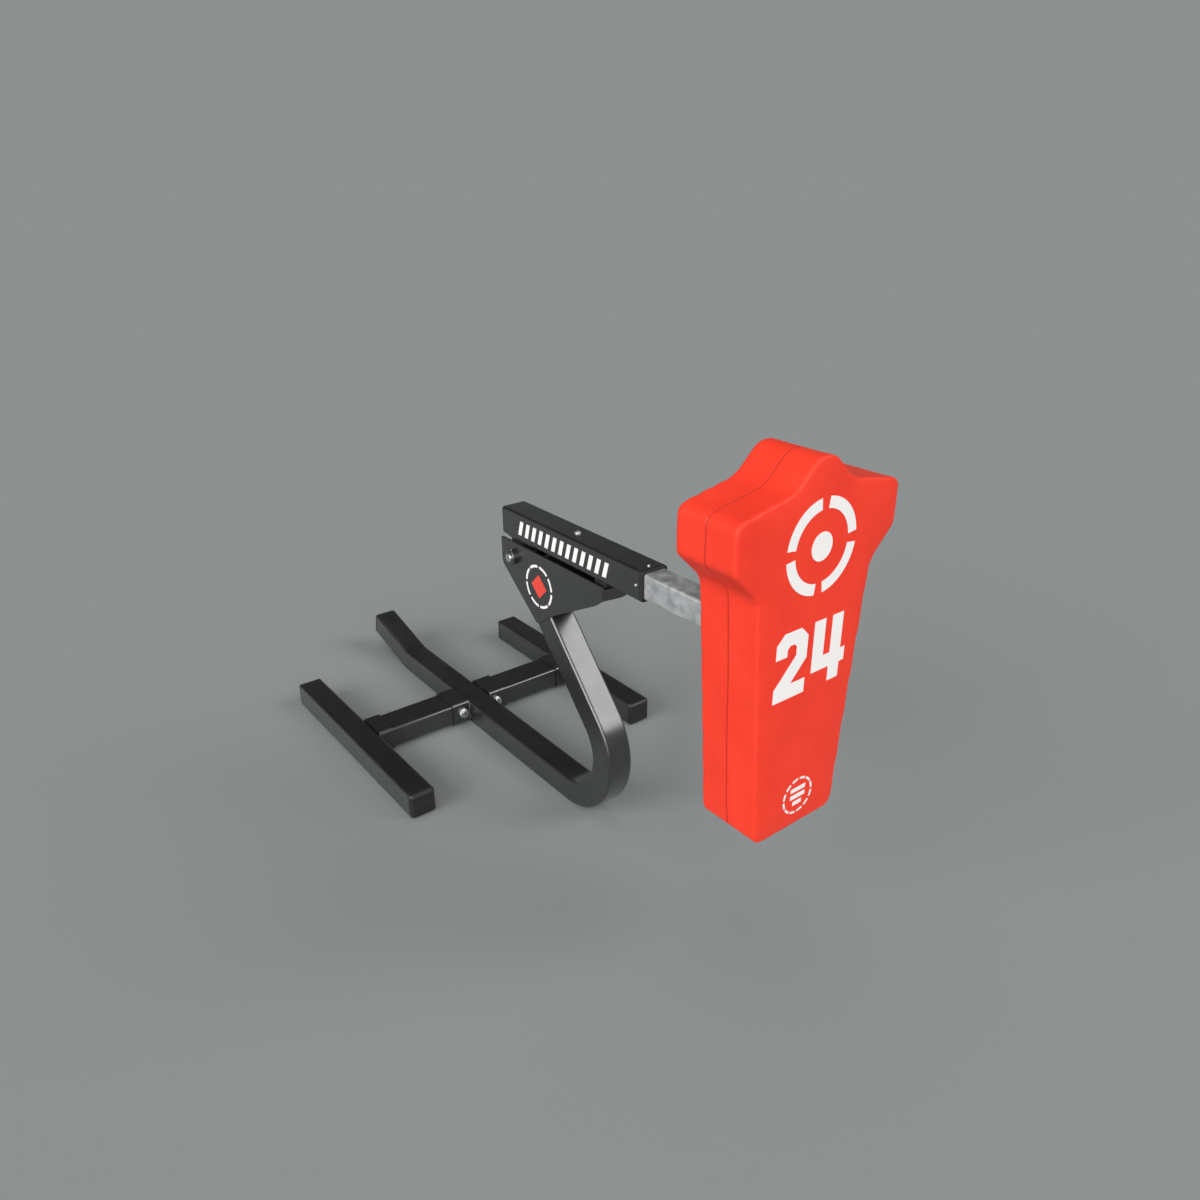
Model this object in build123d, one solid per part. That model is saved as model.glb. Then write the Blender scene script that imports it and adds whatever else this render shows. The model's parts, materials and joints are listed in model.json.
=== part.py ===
from build123d import *
import math
import os

# One-man blocking sled, in millimetres.
# +X is forward, towards the player who hits the pad, +Y is the sled's left, +Z is up.
# The origin is on the ground, under the middle of the centre skid where the outriggers meet it.

# Driving dimensions
TUBE = 76.2              # 3 inch square tube: centre skid, side skids and beam
TUBE_WALL = 4.8
TUBE_CORNER = 8.0        # outside corner radius of the square tube
FIT = 0.3                # gap left around parts that slide or drop in

SKID_LENGTH = 762.0      # side skid tube without its end caps
SKID_SPREAD = 388.5      # from the middle of the sled to the middle of a side skid
CAP_HEAD = 15.5          # how far a moulded end cap stands out of its tube
CAP_DOME = 12.0          # how far the cap's end is rounded over
CAP_PLUG = 28.0          # how deep the cap's plug goes into the tube

TAIL_KINK_X = -384.0     # where the centre skid turns up at the back
TAIL_RISE = 14.5         # degrees
TAIL_LENGTH = 232.0      # from the kink to the tube's cut end
TAIL_BEND_R = 190.0
FRONT_CORNER_X = 936.0   # where the straight centre lines of the ground run and the upright would cross
UPRIGHT_LEAN = 131.7     # degrees from forward, so the upright leans back over the skid
UPRIGHT_LENGTH = 820.0   # from that corner to the tube's cut top end
FRONT_BEND_R = 160.0

CROSS_WIDE = 101.6       # outrigger cross tube, 4 by 2.5 inch
CROSS_HIGH = 63.5
CROSS_WALL = 4.8
CROSS_Z = 44.0           # height of the cross tube's centre line
RECEIVER_END = 98.0      # outer end of the receiver, from the middle of the sled
SOCKET_LENGTH = 46.0     # sleeve welded to the side skid round the cross tube
OUTRIGGER_BOLT_Y = 62.0
OUTRIGGER_BOLT_D = 16.0

PLATE = 6.35             # gusset plate thickness
PIVOT_X = 370.0          # the pin lies on the upright's centre line, past its cut end
PIVOT_Z = 679.0
PIN_D = 25.4
PIN_HALF = 63.5          # half the length of the pivot pin
COLLAR_D = 41.3
COLLAR_WIDE = 13.0
BARREL_D = 46.0
HANGER_REAR_X = 326.0
HANGER_FRONT_X = 448.0

BEAM_REAR_X = 313.0
BEAM_LENGTH = 571.0
BEAM_WALL = 3.175
BEAM_Z = 766.6           # height of the beam's centre line
ARM = 63.5               # 2.5 inch square galvanised arm
ARM_WALL = 4.8
ARM_REAR_X = 572.0
ARM_CORNER = 6.0
LIP = 12.0               # how far the liner's lip stands out of the beam's mouth
STROKE = 110.0           # recoil travel of the arm
STOP_SCREW_X = 602.0
STOP_SCREW_D = 10.0
LINER_SCREW_X = 874.0
SPRING_D = 52.0          # outside diameter of the recoil spring
SPRING_WIRE = 6.0
SPRING_TURNS = 11
SPRING_SIDES = 8         # flats round the spring's wire, which nothing shows

PAD_REAR_X = 1200.0
PAD_DEEP = 152.4
PAD_EDGE_R = 16.0
PAD_SKIN = 3.0
SEAM_WIDE = 3.0          # groove round the pad where the halves of its skin meet
SEAM_DEEP = 1.2
# Right half of the pad's outline as (across, up, corner radius), from the bottom to the top of the head
PAD_CORNERS = [
    (118.0, 370.0, 18.0),
    (158.0, 930.0, 50.0),
    (222.0, 994.0, 26.0),
    (222.0, 1088.0, 22.0),
    (80.0, 1115.0, 70.0),
    (22.0, 1171.0, 45.0),
]
PLATE_WIDE = 180.0       # pad mounting plate
PLATE_HIGH = 300.0
PLATE_THICK = 8.0
PLATE_Z = 766.6
BOARD_WIDE = 200.0       # plywood board inside the pad
BOARD_HIGH = 480.0
BOARD_THICK = 18.0
BOARD_Z = 716.0
PAD_BOLT_D = 10.0
PAD_BOLT_SPAN_Y = 140.0
PAD_BOLT_SPAN_Z = 240.0

BEAM_FRONT_X = BEAM_REAR_X + BEAM_LENGTH
BEAM_TOP = BEAM_Z + TUBE / 2
BEAM_BOTTOM = BEAM_Z - TUBE / 2
PLATE_X = PAD_REAR_X - PLATE_THICK
HALF = TUBE / 2


def save(shape, node):
    """Write one sub-part under its node name."""
    export_step(shape, f"parts/{node}.step")


def along_x(diameter, x0, x1, y=0.0, z=0.0):
    """A round bar along X from x0 to x1."""
    bar = Cylinder(diameter / 2, x1 - x0, rotation=(0, 90, 0))
    return Pos((x0 + x1) / 2, y, z) * bar


def along_y(diameter, y0, y1, x=0.0, z=0.0):
    """A round bar along Y from y0 to y1."""
    bar = Cylinder(diameter / 2, y1 - y0, rotation=(90, 0, 0))
    return Pos(x, (y0 + y1) / 2, z) * bar


def along_z(diameter, z0, z1, x=0.0, y=0.0):
    """A round bar along Z from z0 to z1."""
    return Pos(x, y, (z0 + z1) / 2) * Cylinder(diameter / 2, z1 - z0)


def box_between(low, high):
    """A box from its lowest to its highest corner."""
    size = [b - a for a, b in zip(low, high)]
    middle = [(a + b) / 2 for a, b in zip(low, high)]
    return Pos(*middle) * Box(*size)


def tube_bar(x0, x1, wide, high, corner):
    """A solid bar along X with a rounded rectangular section, centred on the X axis."""
    plane = Plane(origin=(x0, 0, 0), x_dir=(0, 1, 0), z_dir=(1, 0, 0))
    return extrude(plane * RectangleRounded(wide, high, corner), amount=x1 - x0)


def tube_run(x0, x1, wide, high, wall, corner):
    """A hollow rectangular tube along X, centred on the X axis."""
    outer = tube_bar(x0, x1, wide, high, corner)
    inner = tube_bar(x0 - 1, x1 + 1, wide - 2 * wall, high - 2 * wall, max(corner - wall, 1.0))
    return outer - inner


def hex_prism(flats, thick):
    """A hexagon bolt head or nut blank along +Z from the origin, with its corners turned off."""
    blank = extrude(RegularPolygon(flats / 2, 6, major_radius=False), amount=thick)
    turned = Pos(0, 0, thick / 2) * Cylinder(flats * 0.575, thick)
    turned = chamfer(turned.edges().group_by(Axis.Z)[-1], thick * 0.18)
    return blank & turned


def hex_bolt(diameter, flats, head, length):
    """A hexagon bolt with its head above the origin and its shank down -Z."""
    shank = Pos(0, 0, -length / 2) * Cylinder(diameter / 2, length)
    shank = chamfer(shank.edges().group_by(Axis.Z)[0], diameter * 0.1)
    return hex_prism(flats, head) + shank


def hex_nut(diameter, flats, thick):
    """A hexagon nut along +Z from the origin."""
    return hex_prism(flats, thick) - Cylinder(diameter / 2, 3 * thick)


def washer(diameter, outside, thick):
    """A flat washer along +Z from the origin."""
    ring = Circle(outside / 2) - Circle(diameter / 2)
    return extrude(ring, amount=thick)


def skid_path():
    """The centre line of the centre skid, from the cut end of the tail to the cut top of the upright."""
    rise = math.radians(TAIL_RISE)
    lean = math.radians(UPRIGHT_LEAN)
    tail = (TAIL_KINK_X - TAIL_LENGTH * math.cos(rise), 0, HALF + TAIL_LENGTH * math.sin(rise))
    kink = (TAIL_KINK_X, 0, HALF)
    corner = (FRONT_CORNER_X, 0, HALF)
    top = (FRONT_CORNER_X + UPRIGHT_LENGTH * math.cos(lean), 0, HALF + UPRIGHT_LENGTH * math.sin(lean))
    return FilletPolyline(tail, kink, corner, top, radius=[TAIL_BEND_R, FRONT_BEND_R])


def tail_frame():
    """A plane at the tail's cut end, with its normal pointing out of the tube and back."""
    rise = math.radians(TAIL_RISE)
    x = TAIL_KINK_X - TAIL_LENGTH * math.cos(rise)
    z = HALF + TAIL_LENGTH * math.sin(rise)
    return Plane(origin=(x, 0, z), x_dir=(0, 1, 0), z_dir=(-math.cos(rise), 0, math.sin(rise)))


def make_center_skid():
    """The bent centre tube: tail, ground run, front bend and the upright that leans back."""
    path = skid_path()
    start = Plane(origin=path @ 0, x_dir=(0, 1, 0), z_dir=path % 0)
    outer = sweep(start * RectangleRounded(TUBE, TUBE, TUBE_CORNER), path=path)
    bore = TUBE - 2 * TUBE_WALL
    inner = sweep(start * RectangleRounded(bore, bore, TUBE_CORNER - TUBE_WALL), path=path)
    return outer - inner


def end_cap(wide, high, wall, corner):
    """A moulded tube cap along +Z from the tube's end: domed head, plug and grip ribs, hollow behind."""
    head = extrude(RectangleRounded(wide, high, corner), amount=CAP_HEAD)
    head = fillet(head.faces().sort_by(Axis.Z)[-1].edges(), CAP_DOME)
    plug_w = wide - 2 * wall - 2.0
    plug_h = high - 2 * wall - 2.0
    plug = extrude(RectangleRounded(plug_w, plug_h, 2.5), amount=-CAP_PLUG)
    ribs = [
        Pos(0, 0, -depth) * extrude(RectangleRounded(plug_w + 1.9, plug_h + 1.9, 3.1), amount=-2.5)
        for depth in (6.0, 13.0, 20.0)
    ]
    hollow = Pos(0, 0, 4) * extrude(RectangleRounded(plug_w - 7, plug_h - 7, 2), amount=-CAP_PLUG - 8)
    return head + plug + ribs - hollow


def make_tail_cap():
    """The cap in the raised end of the centre skid."""
    return tail_frame().location * end_cap(TUBE, TUBE, TUBE_WALL, TUBE_CORNER)


def make_side_skid(side):
    """One straight side skid."""
    tube = tube_run(-SKID_LENGTH / 2, SKID_LENGTH / 2, TUBE, TUBE, TUBE_WALL, TUBE_CORNER)
    return Pos(0, side * SKID_SPREAD, HALF) * tube


def make_skid_cap(side, end):
    """One end cap of a side skid; end is +1 at the front and -1 at the back."""
    plane = Plane(
        origin=(end * SKID_LENGTH / 2, side * SKID_SPREAD, HALF), x_dir=(0, 1, 0), z_dir=(end, 0, 0)
    )
    return plane.location * end_cap(TUBE, TUBE, TUBE_WALL, TUBE_CORNER)


def sleeve_across(y0, y1, wide, high, wall, corner):
    """A hollow rectangular tube along Y from y0 to y1, at the height of the cross tubes."""
    plane = Plane(origin=(0, y0, CROSS_Z), x_dir=(1, 0, 0), z_dir=(0, 1, 0))
    outer = RectangleRounded(wide, high, corner)
    inner = RectangleRounded(wide - 2 * wall, high - 2 * wall, max(corner - wall, 1.0))
    return extrude(plane * (outer - inner), amount=y1 - y0)


def bolt_way(side, diameter):
    """The hole for one outrigger bolt, right through the tubes along X."""
    return along_x(diameter, -90, 90, side * OUTRIGGER_BOLT_Y, CROSS_Z)


def make_cross_tube(side):
    """One outrigger cross tube, from inside its receiver to the side skid."""
    y0, y1 = sorted((side * (HALF + 2), side * (SKID_SPREAD - HALF)))
    tube = sleeve_across(y0, y1, CROSS_WIDE, CROSS_HIGH, CROSS_WALL, TUBE_CORNER)
    return tube - bolt_way(side, OUTRIGGER_BOLT_D + 1)


def make_receiver(side):
    """The sleeve welded to the side of the centre skid that takes the cross tube."""
    y0, y1 = sorted((side * HALF, side * RECEIVER_END))
    wide = CROSS_WIDE + 2 * TUBE_WALL + 2 * FIT
    high = CROSS_HIGH + 2 * TUBE_WALL + 2 * FIT
    sleeve = sleeve_across(y0, y1, wide, high, TUBE_WALL, TUBE_CORNER + 2)
    return sleeve - bolt_way(side, OUTRIGGER_BOLT_D + 1)


def make_skid_socket(side):
    """The short sleeve round the outer end of the cross tube, welded to the side skid."""
    inner_face = SKID_SPREAD - HALF
    y0, y1 = sorted((side * (inner_face - SOCKET_LENGTH), side * inner_face))
    wide = CROSS_WIDE + 2 * TUBE_WALL + 2 * FIT
    high = CROSS_HIGH + 2 * TUBE_WALL + 2 * FIT
    return sleeve_across(y0, y1, wide, high, TUBE_WALL, TUBE_CORNER + 2)


def receiver_half():
    """Half the outside width of a receiver, where the bolt's washers sit."""
    return CROSS_WIDE / 2 + TUBE_WALL + FIT


def make_outrigger_bolts():
    """The two hexagon bolts that hold the outriggers, with their heads forward."""
    head_x = receiver_half() + 3
    plane = Plane(origin=(head_x, 0, CROSS_Z), x_dir=(0, 1, 0), z_dir=(1, 0, 0))
    bolt = plane.location * hex_bolt(OUTRIGGER_BOLT_D, 24, 10, 2 * head_x + 20)
    return Compound([Pos(0, side * OUTRIGGER_BOLT_Y, 0) * bolt for side in (-1, 1)])


def make_outrigger_nuts():
    """The two lock nuts on the back of the receivers."""
    plane = Plane(origin=(-receiver_half() - 3, 0, CROSS_Z), x_dir=(0, 1, 0), z_dir=(-1, 0, 0))
    nut = plane.location * hex_nut(OUTRIGGER_BOLT_D, 24, 13)
    return Compound([Pos(0, side * OUTRIGGER_BOLT_Y, 0) * nut for side in (-1, 1)])


def make_outrigger_washers():
    """The four flat washers under the bolt heads and nuts."""
    rings = []
    for end in (-1, 1):
        plane = Plane(origin=(end * receiver_half(), 0, CROSS_Z), x_dir=(0, 1, 0), z_dir=(end, 0, 0))
        ring = plane.location * washer(OUTRIGGER_BOLT_D, 32, 3)
        rings += [Pos(0, side * OUTRIGGER_BOLT_Y, 0) * ring for side in (-1, 1)]
    return Compound(rings)


def make_gusset(side):
    """One bracket plate on the side of the upright, cut with a radius behind the pivot."""
    corners = [
        (311.5, 721.0, 3.0),
        (311.5, 647.0, 26.0),
        (470.0, 517.0, 6.0),
        (532.0, 559.0, 12.0),
        (728.0, 662.0, 16.0),
        (757.0, 684.0, 3.0),
        (757.0, 721.0, 3.0),
    ]
    path = FilletPolyline(
        *[(x, z) for x, z, _ in corners], radius=[r for _, _, r in corners], close=True
    )
    plane = Plane(origin=(0, side * HALF, 0), x_dir=(1, 0, 0), z_dir=(0, -1, 0))
    plate = extrude(plane * make_face(path), amount=-side * PLATE)
    return plate - along_y(PIN_D + 0.1, -80, 80, PIVOT_X, PIVOT_Z)


def make_stop_angle():
    """The welded angle between the plates that carries the rubber stop."""
    upright = box_between((749, -HALF, 684), (757, HALF, 712))
    shelf = box_between((702, -HALF, 704), (757, HALF, 712))
    angle = upright + shelf
    inside = angle.edges().filter_by(Axis.Y).sort_by(lambda e: (e.center() - Vector(749, 0, 704)).length)[0]
    angle = fillet(inside, 5)
    holes = [along_z(9, 700, 715, 728, y) for y in (-20, 20)]
    return angle - holes


def make_stop_bumper():
    """The rubber stop that the beam rests on, with a crowned top."""
    block = box_between((706, -30, 712), (750, 30, BEAM_BOTTOM - 0.2))
    block = fillet(block.edges().filter_by(Axis.Z), 6)
    block = fillet(block.faces().sort_by(Axis.Z)[-1].edges(), 4)
    holes = [along_z(8, 711, 723, 728, y) for y in (-20, 20)]
    return block - holes


def make_bumper_screws():
    """The two screws that hold the rubber stop from below."""
    screw = Rot(180, 0, 0) * hex_bolt(8, 13, 5.5, 18.5)
    return Compound([Pos(728, y, 704) * screw for y in (-20, 20)])


def make_pivot_pin():
    """The pin that the beam turns on, with chamfered ends."""
    pin = along_y(PIN_D, -PIN_HALF, PIN_HALF, PIVOT_X, PIVOT_Z)
    return chamfer(pin.edges().filter_by(GeomType.CIRCLE), 1.5)


def make_pivot_collar(side):
    """The set collar that keeps the pin in the plates, with a turned edge and a set screw hole."""
    y0, y1 = sorted((side * (HALF + PLATE), side * (HALF + PLATE + COLLAR_WIDE)))
    ring = along_y(COLLAR_D, y0, y1, PIVOT_X, PIVOT_Z)
    outer_edge = ring.edges().filter_by(GeomType.CIRCLE).sort_by(Axis.Y)[-1 if side > 0 else 0]
    ring = fillet(outer_edge, 2.5)
    ring -= along_y(PIN_D, -90, 90, PIVOT_X, PIVOT_Z)
    middle = side * (HALF + PLATE + COLLAR_WIDE / 2)
    return ring - along_z(6, PIVOT_Z, PIVOT_Z + COLLAR_D, PIVOT_X, middle)


def make_collar_screws():
    """The headless set screw in each collar."""
    screws = []
    for side in (-1, 1):
        middle = side * (HALF + PLATE + COLLAR_WIDE / 2)
        low = PIVOT_Z + PIN_D / 2 + 0.2
        screw = along_z(6, low, low + 8.5, PIVOT_X, middle)
        socket = Pos(PIVOT_X, middle, low + 5.5) * extrude(RegularPolygon(1.5, 6), amount=4)
        screws.append(screw - socket)
    return Compound(screws)


def make_beam_tube():
    """The black outer beam, with holes for the liner screws and the stop screw."""
    tube = Pos(0, 0, BEAM_Z) * tube_run(BEAM_REAR_X, BEAM_FRONT_X, TUBE, TUBE, BEAM_WALL, 7)
    tube -= along_z(5.2, BEAM_Z - TUBE, BEAM_Z + TUBE, LINER_SCREW_X)
    tube -= along_y(5.2, -TUBE, TUBE, LINER_SCREW_X, BEAM_Z)
    return tube - along_z(STOP_SCREW_D + 0.2, BEAM_Z, BEAM_Z + TUBE, STOP_SCREW_X)


def make_beam_end_plate():
    """The plate let into the back end of the beam and welded there."""
    inside = TUBE - 2 * BEAM_WALL
    plate = tube_bar(BEAM_REAR_X + 1, BEAM_REAR_X + 7, inside, inside, 3.825)
    return Pos(0, 0, BEAM_Z) * plate


def make_pivot_hanger():
    """The bracket under the beam: a barrel for the pin carried by two shaped webs."""
    barrel_half = HALF - 3.1
    webs = []
    for y in (-24, 16):
        plane = Plane(origin=(0, y, 0), x_dir=(1, 0, 0), z_dir=(0, -1, 0))
        path = Polyline(
            (HANGER_REAR_X, BEAM_BOTTOM), (PIVOT_X - 22, PIVOT_Z), (PIVOT_X + 20, PIVOT_Z - 4),
            (HANGER_FRONT_X, BEAM_BOTTOM), close=True,
        )
        webs.append(extrude(plane * make_face(path), amount=-8))
    saddle = box_between((HANGER_REAR_X, -30, BEAM_BOTTOM - 5), (HANGER_FRONT_X, 30, BEAM_BOTTOM))
    barrel = along_y(BARREL_D, -barrel_half, barrel_half, PIVOT_X, PIVOT_Z)
    hanger = barrel + webs + saddle
    return hanger - along_y(32, -60, 60, PIVOT_X, PIVOT_Z)


def make_pivot_bush(side):
    """One flanged bush of the barrel; its flange runs against the plate."""
    barrel_half = HALF - 3.1
    y0, y1 = sorted((side * 4, side * barrel_half))
    sleeve = along_y(32, y0, y1, PIVOT_X, PIVOT_Z)
    y0, y1 = sorted((side * barrel_half, side * (HALF - 0.1)))
    flange = along_y(BARREL_D - 2, y0, y1, PIVOT_X, PIVOT_Z)
    return sleeve + flange - along_y(PIN_D + 0.1, -60, 60, PIVOT_X, PIVOT_Z)


def make_mouth_liner():
    """The moulded liner in the beam's mouth, with a lip outside that guides the arm."""
    inside = TUBE - 2 * BEAM_WALL
    bore = ARM + 2 * FIT
    sleeve = tube_bar(BEAM_FRONT_X - 120, BEAM_FRONT_X, inside, inside, 3.825)
    lip = tube_bar(BEAM_FRONT_X, BEAM_FRONT_X + LIP, TUBE, TUBE, 7)
    lip = fillet(lip.faces().sort_by(Axis.X)[-1].edges(), 2.5)
    hole = tube_bar(BEAM_FRONT_X - 130, BEAM_FRONT_X + 30, bore, bore, ARM_CORNER)
    return Pos(0, 0, BEAM_Z) * (sleeve + lip - hole) - liner_pilots()


def liner_pilots():
    """The four holes that the liner screws bite into."""
    reach = HALF - BEAM_WALL - 2.4
    pilots = along_z(4.2, BEAM_Z + reach, BEAM_Z + TUBE, LINER_SCREW_X)
    pilots += along_z(4.2, BEAM_Z - TUBE, BEAM_Z - reach, LINER_SCREW_X)
    pilots += along_y(4.2, reach, TUBE, LINER_SCREW_X, BEAM_Z)
    pilots += along_y(4.2, -TUBE, -reach, LINER_SCREW_X, BEAM_Z)
    return pilots


def button_screw(diameter, head_d, head, length):
    """A round-headed screw with its head above the origin and its shank down -Z."""
    dome = extrude(Circle(head_d / 2), amount=head)
    dome = fillet(dome.faces().sort_by(Axis.Z)[-1].edges(), head * 0.8)
    socket = Pos(0, 0, head * 0.5) * extrude(RegularPolygon(head_d * 0.2, 6), amount=head)
    shank = Pos(0, 0, -length / 2) * Cylinder(diameter / 2, length)
    return dome + shank - socket


def make_liner_screws():
    """The four small screws round the beam's mouth that hold the liner."""
    screw = button_screw(4.2, 9, 2.6, BEAM_WALL + 2.3)
    outward = [(0, 0, 1), (0, 0, -1), (0, 1, 0), (0, -1, 0)]
    screws = []
    for _, y, z in outward:
        plane = Plane(
            origin=(LINER_SCREW_X, y * HALF, BEAM_Z + z * HALF), x_dir=(1, 0, 0), z_dir=(0, y, z)
        )
        screws.append(plane.location * screw)
    return Compound(screws)


def make_stop_screw():
    """The screw through the beam's top wall whose end runs in the arm's slot."""
    screw = button_screw(STOP_SCREW_D, 18, 4, (TUBE - ARM) / 2 + ARM_WALL + 1)
    return Pos(STOP_SCREW_X, 0, BEAM_TOP) * screw


def make_spring_seat():
    """The stepped seat on the end plate that centres the back of the spring."""
    x0 = BEAM_REAR_X + 7
    seat = along_x(58, x0, x0 + 5, 0, BEAM_Z)
    spigot = along_x(SPRING_D - 2 * SPRING_WIRE - 1, x0 + 5, x0 + 20, 0, BEAM_Z)
    return seat + spigot - along_x(12, x0 - 1, x0 + 30, 0, BEAM_Z)


def spring_span():
    """Where the spring's end turns lie along X."""
    rear = BEAM_REAR_X + 12 + SPRING_WIRE / 2 + 0.2
    front = ARM_REAR_X - 20 - SPRING_WIRE / 2 - 0.2
    return rear, front


def make_recoil_spring():
    """The compression spring behind the arm, one wire in half-turn arcs that run into each other."""
    rear, front = spring_span()
    radius = (SPRING_D - SPRING_WIRE) / 2
    pitch = (front - rear) / SPRING_TURNS
    arcs = []
    for half in range(2 * SPRING_TURNS):
        x = rear + half * pitch / 2
        sign = 1 if half % 2 == 0 else -1
        arcs.append(ThreePointArc(
            (x, sign * radius, BEAM_Z),
            (x + pitch / 4, 0, BEAM_Z + sign * radius),
            (x + pitch / 2, -sign * radius, BEAM_Z),
        ))
    path = Wire(arcs)
    start = Plane(origin=path @ 0, z_dir=path % 0)
    print("spring: least gap between turns", round(pitch - SPRING_WIRE, 2), "mm")
    return sweep(start * RegularPolygon(SPRING_WIRE / 2, SPRING_SIDES), path=path)


def make_arm_tube():
    """The galvanised inner arm, with the slot that the stop screw runs in."""
    tube = Pos(0, 0, BEAM_Z) * tube_run(ARM_REAR_X, PLATE_X, ARM, ARM, ARM_WALL, ARM_CORNER)
    wide = STOP_SCREW_D + 0.4
    slot = box_between(
        (STOP_SCREW_X, -wide / 2, BEAM_Z + ARM / 2 - ARM_WALL - 1),
        (STOP_SCREW_X + STROKE, wide / 2, BEAM_Z + ARM / 2 + 1),
    )
    slot += along_z(wide, BEAM_Z + ARM / 2 - ARM_WALL - 1, BEAM_Z + ARM / 2 + 1, STOP_SCREW_X)
    slot += along_z(wide, BEAM_Z + ARM / 2 - ARM_WALL - 1, BEAM_Z + ARM / 2 + 1, STOP_SCREW_X + STROKE)
    return tube - slot


def make_arm_shoe():
    """The plastic guide on the back of the arm: a plug, a flange that fills the beam and a spring spigot."""
    bore = ARM - 2 * ARM_WALL
    beam_bore = TUBE - 2 * BEAM_WALL
    plug = tube_bar(ARM_REAR_X, ARM_REAR_X + 22, bore, bore, 1.2)
    flange = tube_bar(ARM_REAR_X - 20, ARM_REAR_X, beam_bore - 2 * FIT, beam_bore - 2 * FIT, 3.6)
    spigot = along_x(SPRING_D - 2 * SPRING_WIRE - 1, ARM_REAR_X - 36, ARM_REAR_X - 20)
    return Pos(0, 0, BEAM_Z) * (plug + flange + spigot - along_x(14, ARM_REAR_X - 50, ARM_REAR_X + 60))


def pad_bolt_places():
    """Where the four pad bolts pass through the plate, as (y, z)."""
    return [
        (y * PAD_BOLT_SPAN_Y / 2, PLATE_Z + z * PAD_BOLT_SPAN_Z / 2) for y in (-1, 1) for z in (-1, 1)
    ]


def bolt_ways(diameter, x0, x1):
    """The four pad bolt holes from x0 to x1."""
    return [along_x(diameter, x0, x1, y, z) for y, z in pad_bolt_places()]


def make_pad_plate():
    """The rounded steel plate on the front of the arm that the pad bolts to."""
    plane = Plane(origin=(PLATE_X, 0, PLATE_Z), x_dir=(0, 1, 0), z_dir=(1, 0, 0))
    plate = extrude(plane * RectangleRounded(PLATE_WIDE, PLATE_HIGH, 20), amount=PLATE_THICK)
    return plate - bolt_ways(PAD_BOLT_D + 1, PLATE_X - 5, PAD_REAR_X + 5)


def make_plate_rib(side):
    """One of the two webs that brace the plate: side is +1 or -1 above and below the arm."""
    edge = BEAM_Z + side * ARM / 2
    plane = Plane(origin=(0, -4, 0), x_dir=(1, 0, 0), z_dir=(0, -1, 0))
    path = Polyline(
        (PLATE_X, edge), (PLATE_X - 70, edge), (PLATE_X - 70, edge + side * 6),
        (PLATE_X - 8, edge + side * 96), (PLATE_X, edge + side * 96), close=True,
    )
    return extrude(plane * make_face(path), amount=-8)


def pad_outline(inset):
    """The pad's outline as a face, drawn in by the inset all round, or let out where it is negative."""
    right = [(y, z, r) for y, z, r in PAD_CORNERS]
    left = [(-y, z, r) for y, z, r in reversed(PAD_CORNERS)]
    corners = right + left
    path = FilletPolyline(
        *[(y, z) for y, z, _ in corners], radius=[r for _, _, r in corners], close=True
    )
    face = make_face(path)
    if inset:
        face = offset(face, amount=-inset, kind=Kind.ARC)
    return face


def pad_blank(inset, edge_r):
    """A solid of the pad's form, drawn in by the inset, with rounded edges front and back."""
    plane = Plane(origin=(PAD_REAR_X + inset, 0, 0), x_dir=(0, 1, 0), z_dir=(1, 0, 0))
    blank = extrude(plane * pad_outline(inset), amount=PAD_DEEP - 2 * inset)
    ends = blank.faces().filter_by(Axis.X).sort_by(Axis.X)
    return fillet(ends[0].edges() + ends[-1].edges(), edge_r)


def seam_groove():
    """The narrow ring cut round the pad at its seam."""
    start = PAD_REAR_X + (PAD_DEEP - SEAM_WIDE) / 2
    plane = Plane(origin=(start, 0, 0), x_dir=(0, 1, 0), z_dir=(1, 0, 0))
    return extrude(plane * (pad_outline(-2) - pad_outline(SEAM_DEEP)), amount=SEAM_WIDE)


def make_pad_cover(front):
    """Half of the moulded skin; the halves meet in the seam round the middle of the pad."""
    skin = pad_blank(0, PAD_EDGE_R) - pad_blank(PAD_SKIN, PAD_EDGE_R - PAD_SKIN)
    seam_x = PAD_REAR_X + PAD_DEEP / 2
    far = PAD_REAR_X + PAD_DEEP + 10
    near = PAD_REAR_X - 10
    keep = (seam_x, far) if front else (near, seam_x)
    half = skin & box_between((keep[0], -300, 300), (keep[1], 300, 1250))
    half -= seam_groove()
    if not front:
        half -= bolt_ways(PAD_BOLT_D + 1, near, PAD_REAR_X + 10)
    return half


def board_box(grow):
    """The block that the backing board fills, grown on all sides but the back."""
    x0 = PAD_REAR_X + PAD_SKIN
    low = (x0 - grow, -BOARD_WIDE / 2 - grow, BOARD_Z - BOARD_HIGH / 2 - grow)
    high = (x0 + BOARD_THICK + grow, BOARD_WIDE / 2 + grow, BOARD_Z + BOARD_HIGH / 2 + grow)
    return box_between(low, high)


def make_backing_board():
    """The plywood board inside the back of the pad that takes the bolts."""
    board = board_box(0)
    board = fillet(board.edges().filter_by(Axis.X), 18)
    return board - bolt_ways(PAD_BOLT_D + 1, PAD_REAR_X, PAD_REAR_X + 40)


def make_pad_core():
    """The foam block inside the skin, cut out for the board and the nuts."""
    core = pad_blank(PAD_SKIN + FIT, PAD_EDGE_R - PAD_SKIN - FIT)
    core -= board_box(FIT)
    pocket_x = PAD_REAR_X + PAD_SKIN + BOARD_THICK
    return core - bolt_ways(34, pocket_x - 5, pocket_x + 22)


def make_pad_bolts():
    """The four bolts from the plate into the board."""
    head_x = PLATE_X - 2.5
    plane = Plane(origin=(head_x, 0, 0), x_dir=(0, 1, 0), z_dir=(-1, 0, 0))
    length = 2.5 + PLATE_THICK + PAD_SKIN + BOARD_THICK + 14
    bolt = plane.location * hex_bolt(PAD_BOLT_D, 17, 6.5, length)
    return Compound([Pos(0, y, z) * bolt for y, z in pad_bolt_places()])


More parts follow.
